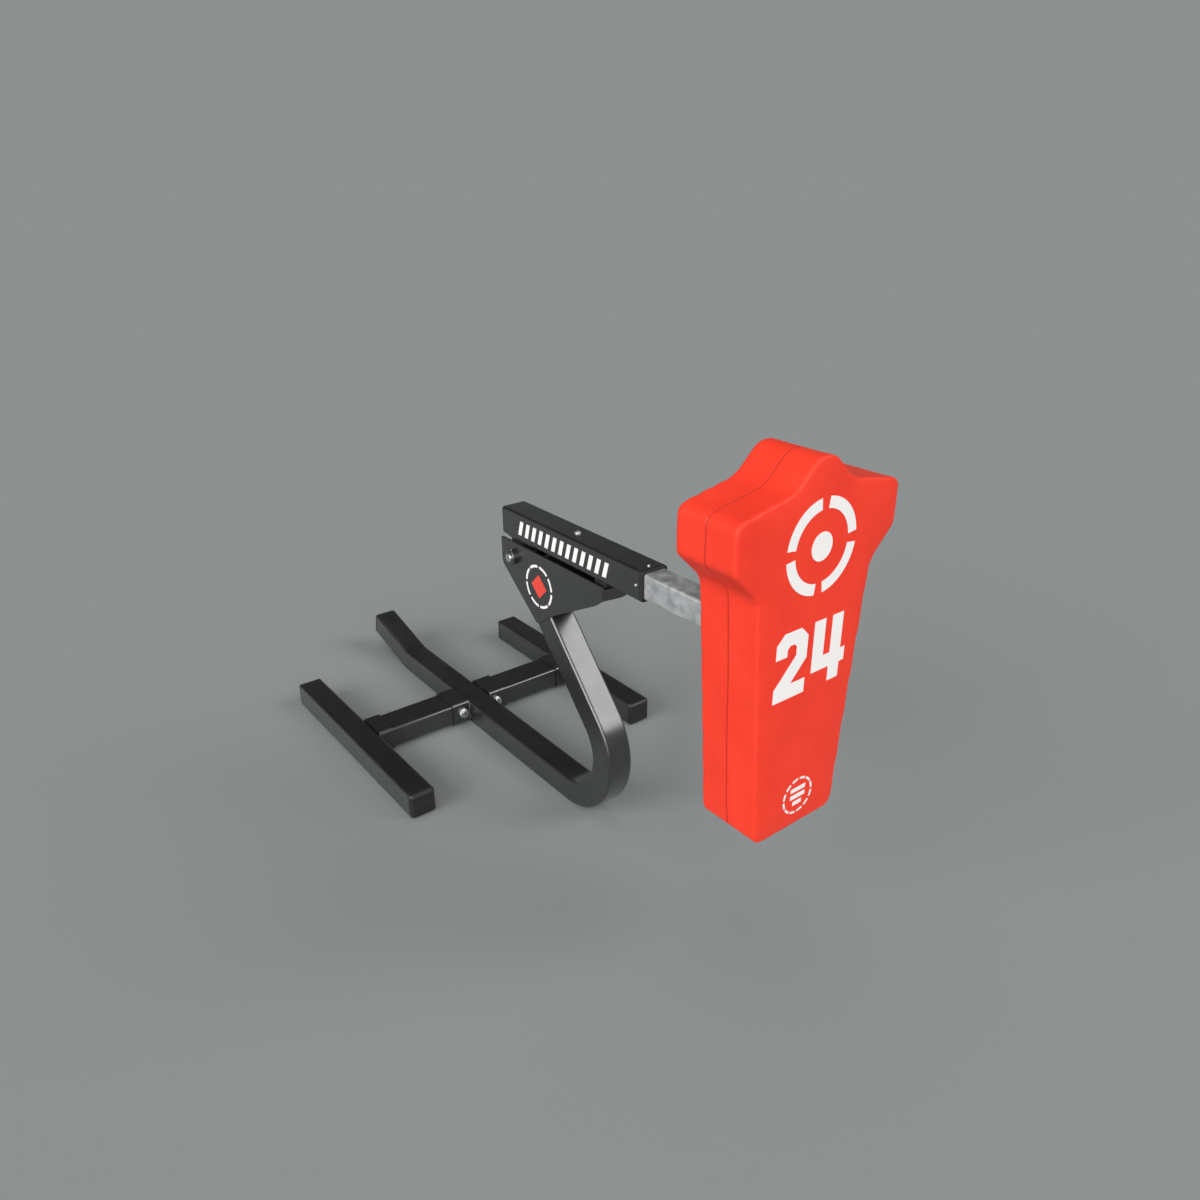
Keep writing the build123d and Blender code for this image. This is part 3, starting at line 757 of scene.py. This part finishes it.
@dataclass
class Beam:
    """The pivoting outer beam with its hanger, liner and screws.

    Attributes:
        finishes: The sled's materials.
        weld_off: How far the welds stand off the beam's underside.
        weld_inset: How far they stop short of the hanger's ends.
        weld_side: Distance of the two welds from the sled's middle.
        first_stripe: Distance of the first stripe from the beam's back end.
        last_stripe: Least distance of the last one from its front end.
        stripe_pitch: Distance from one stripe to the next.
        stripe_width: Width of a stripe.
        stripe_slant: How much further forward its top is than its foot.
        stripe_half: Half its height.
        film: Thickness of a printed film.
    """

    finishes: Finishes
    weld_off: float = 0.001
    weld_inset: float = 0.004
    weld_side: float = 0.0305
    first_stripe: float = 0.075
    last_stripe: float = 0.080
    stripe_pitch: float = 0.030
    stripe_width: float = 0.015
    stripe_slant: float = 0.012
    stripe_half: float = 0.020
    film: float = 0.0003

    def build(self) -> None:
        """Finish the beam's pieces, its welds and the stripes on its sides."""
        make = Refinisher(self.finishes)
        for node in ("beam_tube", "beam_end_plate", "pivot_hanger", "pivot_bush_left", "pivot_bush_right"):
            make.piece(node, Body.BEAM)
        for node in ("mouth_liner", "liner_screws", "stop_screw"):
            make.piece(node, Body.BEAM, small=True)
        self.welds()
        self.stripes()

    def welds(self) -> None:
        """Lay the beads between the hanger's saddle and the beam."""
        low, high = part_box("pivot_hanger")
        x0, x1, z = low[0] + self.weld_inset, high[0] - self.weld_inset, high[2] - self.weld_off
        seams = [Seam((x0, y, z), (x1, y, z)) for y in (-self.weld_side, self.weld_side)]
        Welds(self.finishes).lay("beam_welds", Body.BEAM, "black_powder_coat", seams)

    def stripes(self) -> None:
        """Put a band of slanted white stripes on both sides of the beam."""
        low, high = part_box("beam_tube")
        middle = (low[2] + high[2]) / 2
        foot, top = middle - self.stripe_half, middle + self.stripe_half
        first, last = low[0] + self.first_stripe, high[0] - self.last_stripe
        pieces = []
        for side in Side:
            y = side.value * (high[1] + self.film / 2)
            for i in range(int((last - first) / self.stripe_pitch)):
                x = first + i * self.stripe_pitch
                lean = x + self.stripe_slant
                points = [
                    (x, y, foot), (x + self.stripe_width, y, foot),
                    (lean + self.stripe_width, y, top), (lean, y, top),
                ]
                pieces.append(polygon("stripe", points))
        stripes = joined("beam_stripes", pieces)
        apply_modifier(stripes, "SOLIDIFY", thickness=self.film, offset=0.0)
        recalculate(stripes)
        hand_over(stripes, Body.BEAM, self.finishes["white_print"])


@dataclass
class Arm:
    """The galvanised arm with its mounting plate and bolts.

    Attributes:
        finishes: The sled's materials.
        weld_off: How far the weld stands off the mounting plate.
        weld_inset: How far it stops short of the arm's corners.
        weld_ripple: Distance from one ripple to the next.
        weld_radius: Radius of the bead.
    """

    finishes: Finishes
    weld_off: float = 0.0005
    weld_inset: float = 0.006
    weld_ripple: float = 0.003
    weld_radius: float = 0.0032

    def build(self) -> None:
        """Finish the arm's pieces and weld the plate to it."""
        make = Refinisher(self.finishes)
        for node in ("arm_tube", "pad_plate", "plate_rib_upper", "plate_rib_lower"):
            make.piece(node, Body.ARM)
        for node in ("pad_bolts", "pad_washers"):
            make.piece(node, Body.ARM, small=True)
        self.welds()

    def welds(self) -> None:
        """Lay the beads round the arm's end on the plate."""
        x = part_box("pad_plate")[0][0] - self.weld_off
        (_, y0, z0), (_, y1, z1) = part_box("arm_tube")
        inset = self.weld_inset
        seams = [Seam((x, y, z0 + inset), (x, y, z1 - inset)) for y in (y0, y1)]
        seams += [Seam((x, y0 + inset, z), (x, y1 - inset, z)) for z in (z0, z1)]
        welds = Welds(self.finishes, self.weld_ripple, self.weld_radius)
        welds.lay("arm_welds", Body.ARM, "galvanised_steel", seams)


@dataclass(frozen=True)
class Corner:
    """One corner of the pad's outline, in millimetres."""

    across: float
    up: float
    radius: float


@dataclass
class Pad:
    """The padded dummy: a firm moulded form with head, shoulders and a tapering body.

    Attributes:
        finishes: The sled's materials.
        shrink: How much smaller the form is before it is blown up.
        swell: The most that any point may move out as it is blown up.
        sink: The most that any point may move in.
        voxel: Size of the remeshed faces.
        pressure: Pressure in the skin as it is blown up.
        stretch_stiffness: How strongly the skin keeps its size.
        bend_stiffness: How strongly it keeps its bends.
        frames: How many frames it is blown up for.
        relax_rounds: How often the moves are averaged with their neighbours.
        edge_radius: Radius of the edges round the front and the back.
        edge_segments: How many faces go round one of those edges.
        arc_steps: How many straight runs make one round corner.
        seam_half: Half the width of the seam.
        seam_depth: Its depth.
        print_lift: How far the print stands off the skin.
        print_step: Size of the faces that let the print follow the skin.
        target_place: Middle of the target, as (y, z).
        target_radius: Its radius.
        number_place: Middle of the number.
        number_height: Its height.
        badge_place: Middle of the small dashed ring with its bars.
        badge_outer: Outer radius of that ring.
        badge_inner: Its inner radius.
    """

    finishes: Finishes
    shrink: float = 0.0008
    swell: float = 0.0045
    sink: float = 0.0004
    voxel: float = 0.007
    pressure: float = 4.0
    stretch_stiffness: float = 40.0
    bend_stiffness: float = 4.0
    frames: int = 20
    relax_rounds: int = 24
    edge_radius: float = 0.016
    edge_segments: int = 6
    arc_steps: int = 10
    seam_half: float = 0.0028
    seam_depth: float = 0.0045
    print_lift: float = 0.0004
    print_step: float = 0.012
    target_place: Flat = (0.0, 1.000)
    target_radius: float = 0.096
    number_place: Flat = (0.0, 0.772)
    number_height: float = 0.145
    badge_place: Flat = (0.0, 0.446)
    badge_outer: float = 0.044
    badge_inner: float = 0.039

    RIGHT_SIDE = (
        Corner(118.0, 370.0, 18.0),
        Corner(158.0, 930.0, 50.0),
        Corner(222.0, 994.0, 26.0),
        Corner(222.0, 1088.0, 22.0),
        Corner(80.0, 1115.0, 70.0),
        Corner(22.0, 1171.0, 45.0),
    )

    def outline(self) -> list[Flat]:
        """Draw the outline with round corners.

        Returns:
            Its (y, z) points in metres.
        """
        left = [Corner(-c.across, c.up, c.radius) for c in reversed(self.RIGHT_SIDE)]
        corners = list(self.RIGHT_SIDE) + left
        points: list[Flat] = []
        for i, corner in enumerate(corners):
            here = Vector((corner.across, corner.up))
            back = Vector((corners[i - 1].across, corners[i - 1].up)) - here
            ahead = corners[(i + 1) % len(corners)]
            on = Vector((ahead.across, ahead.up)) - here
            back.normalize()
            on.normalize()
            turn = math.acos(max(-1.0, min(1.0, back.dot(on))))
            reach = corner.radius / math.tan(turn / 2)
            middle = here + (back + on).normalized() * (corner.radius / math.sin(turn / 2))
            first = here + back * reach - middle
            sweep = (math.pi - turn) * (1 if back.cross(on) < 0 else -1)
            for step in range(self.arc_steps + 1):
                angle = sweep * step / self.arc_steps
                turned = Vector((
                    first.x * math.cos(angle) - first.y * math.sin(angle),
                    first.x * math.sin(angle) + first.y * math.cos(angle),
                ))
                spot = (middle + turned) * MM
                points.append((spot.x, spot.y))
        return points

    def blank(self) -> bpy.types.Object:
        """Make the form that the skin is blown up from.

        Returns:
            The closed form with round edges.
        """
        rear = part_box("pad_cover_rear")[0][0]
        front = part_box("pad_cover_front")[1][0]
        obj = polygon("pad", [(rear, y, z) for y, z in self.outline()])
        use(obj)
        bpy.ops.object.mode_set(mode="EDIT")
        bpy.ops.mesh.select_all(action="SELECT")
        bpy.ops.mesh.extrude_region_move(TRANSFORM_OT_translate={"value": (front - rear, 0, 0)})
        bpy.ops.mesh.select_all(action="SELECT")
        bpy.ops.mesh.normals_make_consistent(inside=False)
        bpy.ops.mesh.select_all(action="DESELECT")
        bpy.ops.object.mode_set(mode="OBJECT")
        for edge in obj.data.edges:
            ends = [obj.data.vertices[v].co.x for v in edge.vertices]
            edge.select = abs(ends[0] - ends[1]) < MM
        bpy.ops.object.mode_set(mode="EDIT")
        bpy.ops.mesh.bevel(offset=self.edge_radius, segments=self.edge_segments, clamp_overlap=True)
        bpy.ops.object.mode_set(mode="OBJECT")
        return obj

    def blow_up(self, obj: bpy.types.Object) -> None:
        """Blow the form up as cloth under pressure and keep the smooth part of each point's move.

        Args:
            obj: The blank form, which is changed.
        """
        form = bpy.data.objects.new("pad_form", obj.data.copy())
        bpy.context.scene.collection.objects.link(form)
        apply_modifier(obj, "REMESH", mode="VOXEL", voxel_size=self.voxel, use_smooth_shade=True)
        apply_modifier(obj, "SHRINKWRAP", target=form, wrap_method="NEAREST_SURFACEPOINT")
        bpy.data.objects.remove(form)
        normals = np.array([v.normal for v in obj.data.vertices])
        start = np.array([v.co for v in obj.data.vertices]) - normals * self.shrink
        obj.data.vertices.foreach_set("co", start.ravel())
        use(obj)
        cloth = obj.modifiers.new("cloth", "CLOTH")
        cloth.settings.use_pressure = True
        cloth.settings.uniform_pressure_force = self.pressure
        cloth.settings.tension_stiffness = self.stretch_stiffness
        cloth.settings.compression_stiffness = self.stretch_stiffness
        cloth.settings.bending_stiffness = self.bend_stiffness
        cloth.settings.effector_weights.gravity = 0.0
        for step in range(1, self.frames + 1):
            bpy.context.scene.frame_set(step)
        bpy.ops.object.modifier_apply(modifier=cloth.name)
        bpy.context.scene.frame_set(1)
        moved = np.array([v.co for v in obj.data.vertices])
        moves = np.clip(((moved - start) * normals).sum(axis=1), -self.sink, self.swell)
        moves = self.relax(obj, moves)
        obj.data.vertices.foreach_set("co", (start + normals * moves[:, None]).ravel())
        obj.data.update()

    def relax(self, obj: bpy.types.Object, moves: np.ndarray) -> np.ndarray:
        """Average each point's move with its neighbours' several times.

        Args:
            obj: The mesh that gives the neighbours.
            moves: One move for each point.

        Returns:
            The evened moves.
        """
        ends = np.array([edge.vertices[:] for edge in obj.data.edges])
        first, second = ends[:, 0], ends[:, 1]
        count = 1.0 + np.bincount(first, minlength=len(moves)) + np.bincount(second, minlength=len(moves))
        for _ in range(self.relax_rounds):
            total = moves + np.bincount(first, moves[second], len(moves))
            total += np.bincount(second, moves[first], len(moves))
            moves = total / count
        return moves

    def cut_seam(self, obj: bpy.types.Object) -> None:
        """Sink the narrow seam that runs round the middle of the pad's thickness.

        Args:
            obj: The pad, which is changed.
        """
        middle = pad_middle()
        for shift in (-self.seam_half, 0.0, self.seam_half):
            use(obj)
            bpy.ops.object.mode_set(mode="EDIT")
            bpy.ops.mesh.select_all(action="SELECT")
            bpy.ops.mesh.bisect(plane_co=(middle + shift, 0, 0), plane_no=(1, 0, 0), threshold=MERGE)
            bpy.ops.object.mode_set(mode="OBJECT")
        normals = [v.normal.copy() for v in obj.data.vertices]
        for vertex, normal in zip(obj.data.vertices, normals):
            if abs(vertex.co.x - middle) < 5 * MERGE:
                vertex.co -= normal * self.seam_depth

    def build(self) -> None:
        """Make the pad and print its front."""
        obj = self.blank()
        self.blow_up(obj)
        apply_modifier(obj, "SUBSURF", levels=1, render_levels=1)
        self.cut_seam(obj)
        use(obj)
        bpy.ops.object.shade_smooth()
        obj.name = "pad_moulded_skin"
        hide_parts("pad_cover_rear", "pad_cover_front", "pad_core")
        hand_over(obj, Body.ARM, self.finishes["pad_skin"])
        self.print_front(obj)

    def print_front(self, pad: bpy.types.Object) -> None:
        """Lay the white print on the front: a target, a two-figure number and a ring with three bars.

        Args:
            pad: The finished pad.
        """
        depth = bpy.context.evaluated_depsgraph_get()
        surface = BVHTree.FromObject(pad, depth)
        marks = Marks()
        shapes = marks.target(self.target_place, self.target_radius)
        shapes += marks.number(self.number_place, self.number_height)
        shapes += marks.ring(self.badge_place, self.badge_outer, self.badge_inner, parts=12)
        shapes += marks.bars(self.badge_place)
        obj = joined("pad_print", [self.lay_mark(surface, shape) for shape in shapes])
        apply_modifier(obj, "SOLIDIFY", thickness=self.print_lift * 1.5, offset=0.0)
        recalculate(obj)
        smooth(obj, 30.0)
        hand_over(obj, Body.ARM, self.finishes["white_print"])

    def lay_mark(self, surface: BVHTree, shape: list[Flat]) -> bpy.types.Object:
        """Cut one flat mark into small faces and press them on to the pad's front.

        Args:
            surface: The pad's surface.
            shape: The mark's outline as (y, z) points in metres.

        Returns:
            The mark as one sheet.
        """
        obj = polygon("mark", [(0.0, y, z) for y, z in shape])
        use(obj)
        bpy.ops.object.mode_set(mode="EDIT")
        for axis in (Vector((0, 1, 0)), Vector((0, 0, 1))):
            values = [axis.y * y + axis.z * z for y, z in shape]
            cut = math.ceil(min(values) / self.print_step) * self.print_step
            while cut < max(values):
                bpy.ops.mesh.select_all(action="SELECT")
                bpy.ops.mesh.bisect(plane_co=axis * cut, plane_no=axis, threshold=MERGE)
                cut += self.print_step
        bpy.ops.object.mode_set(mode="OBJECT")
        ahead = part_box("pad_cover_front")[1][0] + 1.0
        for vertex in obj.data.vertices:
            hit = surface.ray_cast(Vector((ahead, vertex.co.y, vertex.co.z)), Vector((-1, 0, 0)))
            vertex.co.x = hit[0].x + self.print_lift
        return obj


@dataclass
class Marks:
    """Outlines of the plain printed marks, as flat points in metres.

    Attributes:
        round_steps: How many straight runs make a full circle.
        gap: Half the angle between two arcs of a ring, in degrees.
        target_gap: The same in the target's ring.
        target_inner: Inner radius of the target's ring, as a share of its outer one.
        target_dot: Radius of the target's dot, as the same share.
        bar_halves: Half the length of each bar, from the lowest up.
        bar_pitch: Distance from one bar to the next.
        bar_half_height: Half the height of a bar.
        figure_gap: Distance between the two figures, in the units of FIGURES.
    """

    round_steps: int = 48
    gap: float = 4.0
    target_gap: float = 7.0
    target_inner: float = 0.76
    target_dot: float = 0.30
    bar_halves: tuple[float, ...] = (0.013, 0.022, 0.022)
    bar_pitch: float = 0.017
    bar_half_height: float = 0.005
    figure_gap: float = 1.2

    FIGURE_HEIGHT = 10.0
    FIGURES = {
        "2": [
            (0, 0), (6, 0), (6, 2.2), (3.1, 2.2), (6, 5.3), (6, 8.6), (4.6, 10), (1.4, 10), (0, 8.6),
            (0, 6.5), (2.1, 6.5), (2.1, 7.5), (2.6, 8), (3.4, 8), (3.9, 7.5), (3.9, 6.2), (0, 2.1),
        ],
        "4": [
            (3.6, 0), (5.8, 0), (5.8, 2.3), (6.8, 2.3), (6.8, 4.4), (5.8, 4.4), (5.8, 10), (3.6, 10),
            (3.6, 4.4), (2.2, 4.4), (2.2, 10), (0, 10), (0, 2.3), (3.6, 2.3),
        ],
    }

    def ring(
        self, middle: Flat, outer: float, inner: float, parts: int, gap: float | None = None
    ) -> list[list[Flat]]:
        """Draw a ring that is cut into equal arcs.

        Args:
            middle: The ring's centre.
            outer: Its outer radius.
            inner: Its inner radius.
            parts: How many arcs it has.
            gap: Another half angle between two arcs, in degrees.

        Returns:
            One outline for each arc.
        """
        shapes = []
        half = math.radians(self.gap if gap is None else gap)
        sector = 2 * math.pi / parts
        steps = max(3, self.round_steps // parts)
        for part in range(parts):
            first = part * sector + half
            last = (part + 1) * sector - half
            angles = [first + (last - first) * i / steps for i in range(steps + 1)]
            shapes.append(
                [self.spot(middle, outer, a) for a in angles]
                + [self.spot(middle, inner, a) for a in reversed(angles)]
            )
        return shapes

    def target(self, middle: Flat, radius: float) -> list[list[Flat]]:
        """Return a ring in four quarters, with a solid dot in its middle."""
        ring = self.ring(middle, radius, radius * self.target_inner, parts=4, gap=self.target_gap)
        return [self.disc(middle, radius * self.target_dot)] + ring

    def spot(self, middle: Flat, radius: float, angle: float) -> Flat:
        """Return the point of a circle at an angle."""
        return middle[0] + radius * math.cos(angle), middle[1] + radius * math.sin(angle)

    def disc(self, middle: Flat, radius: float) -> list[Flat]:
        """Return a round outline."""
        step = 2 * math.pi / self.round_steps
        return [self.spot(middle, radius, step * i) for i in range(self.round_steps)]

    def number(self, middle: Flat, height: float) -> list[list[Flat]]:
        """Draw the two block figures of a plain player's number.

        Args:
            middle: The number's middle.
            height: The figures' height.

        Returns:
            One outline for each figure.
        """
        unit = height / self.FIGURE_HEIGHT
        widths = [max(x for x, _ in figure) for figure in self.FIGURES.values()]
        start = -(sum(widths) + self.figure_gap) / 2
        foot = middle[1] - height / 2
        shapes = []
        for figure, wide in zip(self.FIGURES.values(), widths):
            shapes.append([(middle[0] + (start + x) * unit, foot + y * unit) for x, y in figure])
            start += wide + self.figure_gap
        return shapes

    def bars(self, middle: Flat) -> list[list[Flat]]:
        """Draw three short level bars, one above the other.

        Args:
            middle: The middle of the middle bar.

        Returns:
            One outline for each bar.
        """
        shapes = []
        for row, half in enumerate(self.bar_halves, start=-1):
            left, right = middle[0] - half, middle[0] + half
            z = middle[1] + row * self.bar_pitch
            foot, top = z - self.bar_half_height, z + self.bar_half_height
            shapes.append([(left, foot), (right, foot), (right, top), (left, top)])
        return shapes


@dataclass(frozen=True)
class Lamp:
    """One soft light that comes from far away.

    Attributes:
        name: The lamp's name.
        toward: The direction from the sled to the light.
        spread: How wide the light looks, in degrees.
        strength: Its strength.
    """

    name: str
    toward: Point
    spread: float
    strength: float


@dataclass
class Studio:
    """Pale floor, an even backdrop, soft lights and the camera.

    Attributes:
        floor_colour: The floor's colour.
        surround: How bright the studio is above its wall.
        wall_top: Sine of the elevation up to which the wall shows.
        dark_above: Sine of the elevation above which it has faded.
        lamps: The key, the light before the pad, the one that the upright mirrors and the one overhead.
        floor_size: Length of the floor's sides.
        sensor: Width of the camera's sensor, in millimetres.
        lens: Its focal length, in millimetres.
        camera_place: Where the camera is.
        azimuth: How far the camera is turned to the left from looking along Y, in degrees.
        elevation: How far it looks down, in degrees.
        roll: How far it leans, in degrees.
    """

    floor_colour: Colour = (0.260, 0.276, 0.275)
    surround: float = 0.03
    wall_top: float = 0.20
    dark_above: float = 0.36
    lamps: tuple[Lamp, ...] = (
        Lamp("key", (0.10, -0.94, 0.34), 50.0, 3.0),
        Lamp("front", (0.85, -0.35, 0.40), 50.0, 1.8),
        Lamp("upright_gleam", (0.60, 0.53, 0.60), 33.0, 1.2),
        Lamp("overhead", (0.0, 0.0, 1.0), 50.0, 0.6),
    )
    floor_size: float = 400.0
    sensor: float = 36.0
    lens: float = 28.386
    camera_place: Point = (2.3831, -1.3128, 1.6372)
    azimuth: float = 52.19
    elevation: float = 24.69
    roll: float = 0.28

    def build(self) -> None:
        """Set the stage, the lights and the camera."""
        self.stage()
        self.lights()
        self.surroundings()
        self.camera()
        bpy.context.scene.view_settings.view_transform = "Standard"

    def stage(self) -> None:
        """Lay the floor, which runs to the horizon."""
        w = Wiring("studio_floor")
        w.value(Roughness=0.9, Specular_IOR_Level=0.0, Base_Color=(*self.floor_colour, 1.0))
        bpy.ops.object.select_all(action="DESELECT")
        bpy.ops.mesh.primitive_plane_add(size=self.floor_size, location=(0, 0, 0))
        floor = bpy.context.active_object
        floor.name = "studio_floor"
        floor.data.materials.append(w.material)
        settle(floor)

    def lights(self) -> None:
        """Place the lamps."""
        for lamp in self.lamps:
            light = bpy.data.lights.new(lamp.name, "SUN")
            light.angle = math.radians(lamp.spread)
            light.energy = lamp.strength
            obj = bpy.data.objects.new(lamp.name, light)
            bpy.context.scene.collection.objects.link(obj)
            obj.rotation_euler = Vector(lamp.toward).to_track_quat("Z", "Y").to_euler()

    def far_floor(self) -> Colour:
        """Work out how bright the lit floor looks where nothing shades it.

        Returns:
            The colour that the camera sees there.
        """
        wall_share = (self.wall_top**2 + self.wall_top * self.dark_above + self.dark_above**2) / 3
        light = math.pi * self.surround * (1 - wall_share)
        for lamp in self.lamps:
            light += lamp.strength * Vector(lamp.toward).normalized().z
        return tuple(c * light / math.pi / (1 - c * wall_share) for c in self.floor_colour)

    def surroundings(self) -> None:
        """Ring the studio with a wall as bright as the far floor, and keep it dim above."""
        world = bpy.data.worlds.new("studio_surround")
        bpy.context.scene.world = world
        world.use_nodes = True
        tree = world.node_tree
        background = tree.nodes["Background"]
        seen = tree.nodes.new("ShaderNodeLightPath").outputs["Is Camera Ray"]
        way = tree.nodes.new("ShaderNodeTexCoord").outputs["Generated"]
        split = tree.nodes.new("ShaderNodeSeparateXYZ")
        tree.links.new(way, split.inputs["Vector"])
        wall = tree.nodes.new("ShaderNodeMapRange")
        for field, amount in (
            ("From Min", self.wall_top), ("From Max", self.dark_above), ("To Min", 1.0), ("To Max", 0.0)
        ):
            wall.inputs[field].default_value = amount
        tree.links.new(split.outputs["Z"], wall.inputs["Value"])
        either = tree.nodes.new("ShaderNodeMath")
        either.operation = "MAXIMUM"
        tree.links.new(seen, either.inputs[0])
        tree.links.new(wall.outputs["Result"], either.inputs[1])
        choose = tree.nodes.new("ShaderNodeMix")
        choose.data_type = "RGBA"
        choose.inputs[6].default_value = (self.surround, self.surround, self.surround, 1.0)
        choose.inputs[7].default_value = (*self.far_floor(), 1.0)
        tree.links.new(either.outputs["Value"], choose.inputs[0])
        tree.links.new(choose.outputs[2], background.inputs["Color"])

    def camera(self) -> None:
        """Place the camera at the photograph's viewpoint."""
        data = bpy.data.cameras.new("camera")
        data.sensor_width = self.sensor
        data.lens = self.lens
        data.clip_end = self.floor_size / 4
        obj = bpy.data.objects.new("camera", data)
        bpy.context.scene.collection.objects.link(obj)
        turn = Euler((math.radians(90 - self.elevation), 0, math.radians(self.azimuth))).to_matrix()
        lean = Euler((0, 0, math.radians(-self.roll))).to_matrix()
        obj.rotation_euler = (turn @ lean).to_euler()
        obj.location = self.camera_place
        bpy.context.scene.camera = obj


def main() -> None:
    """Build the studio, dress the CAD nodes and model every sub-assembly."""
    logging.basicConfig(level=logging.INFO, format="%(message)s")
    Studio().build()
    finishes = Finishes()
    finishes.dress_cad()
    SledFrame(finishes).build()
    Beam(finishes).build()
    Arm(finishes).build()
    Pad(finishes).build()


if __name__ == "__main__":
    main()
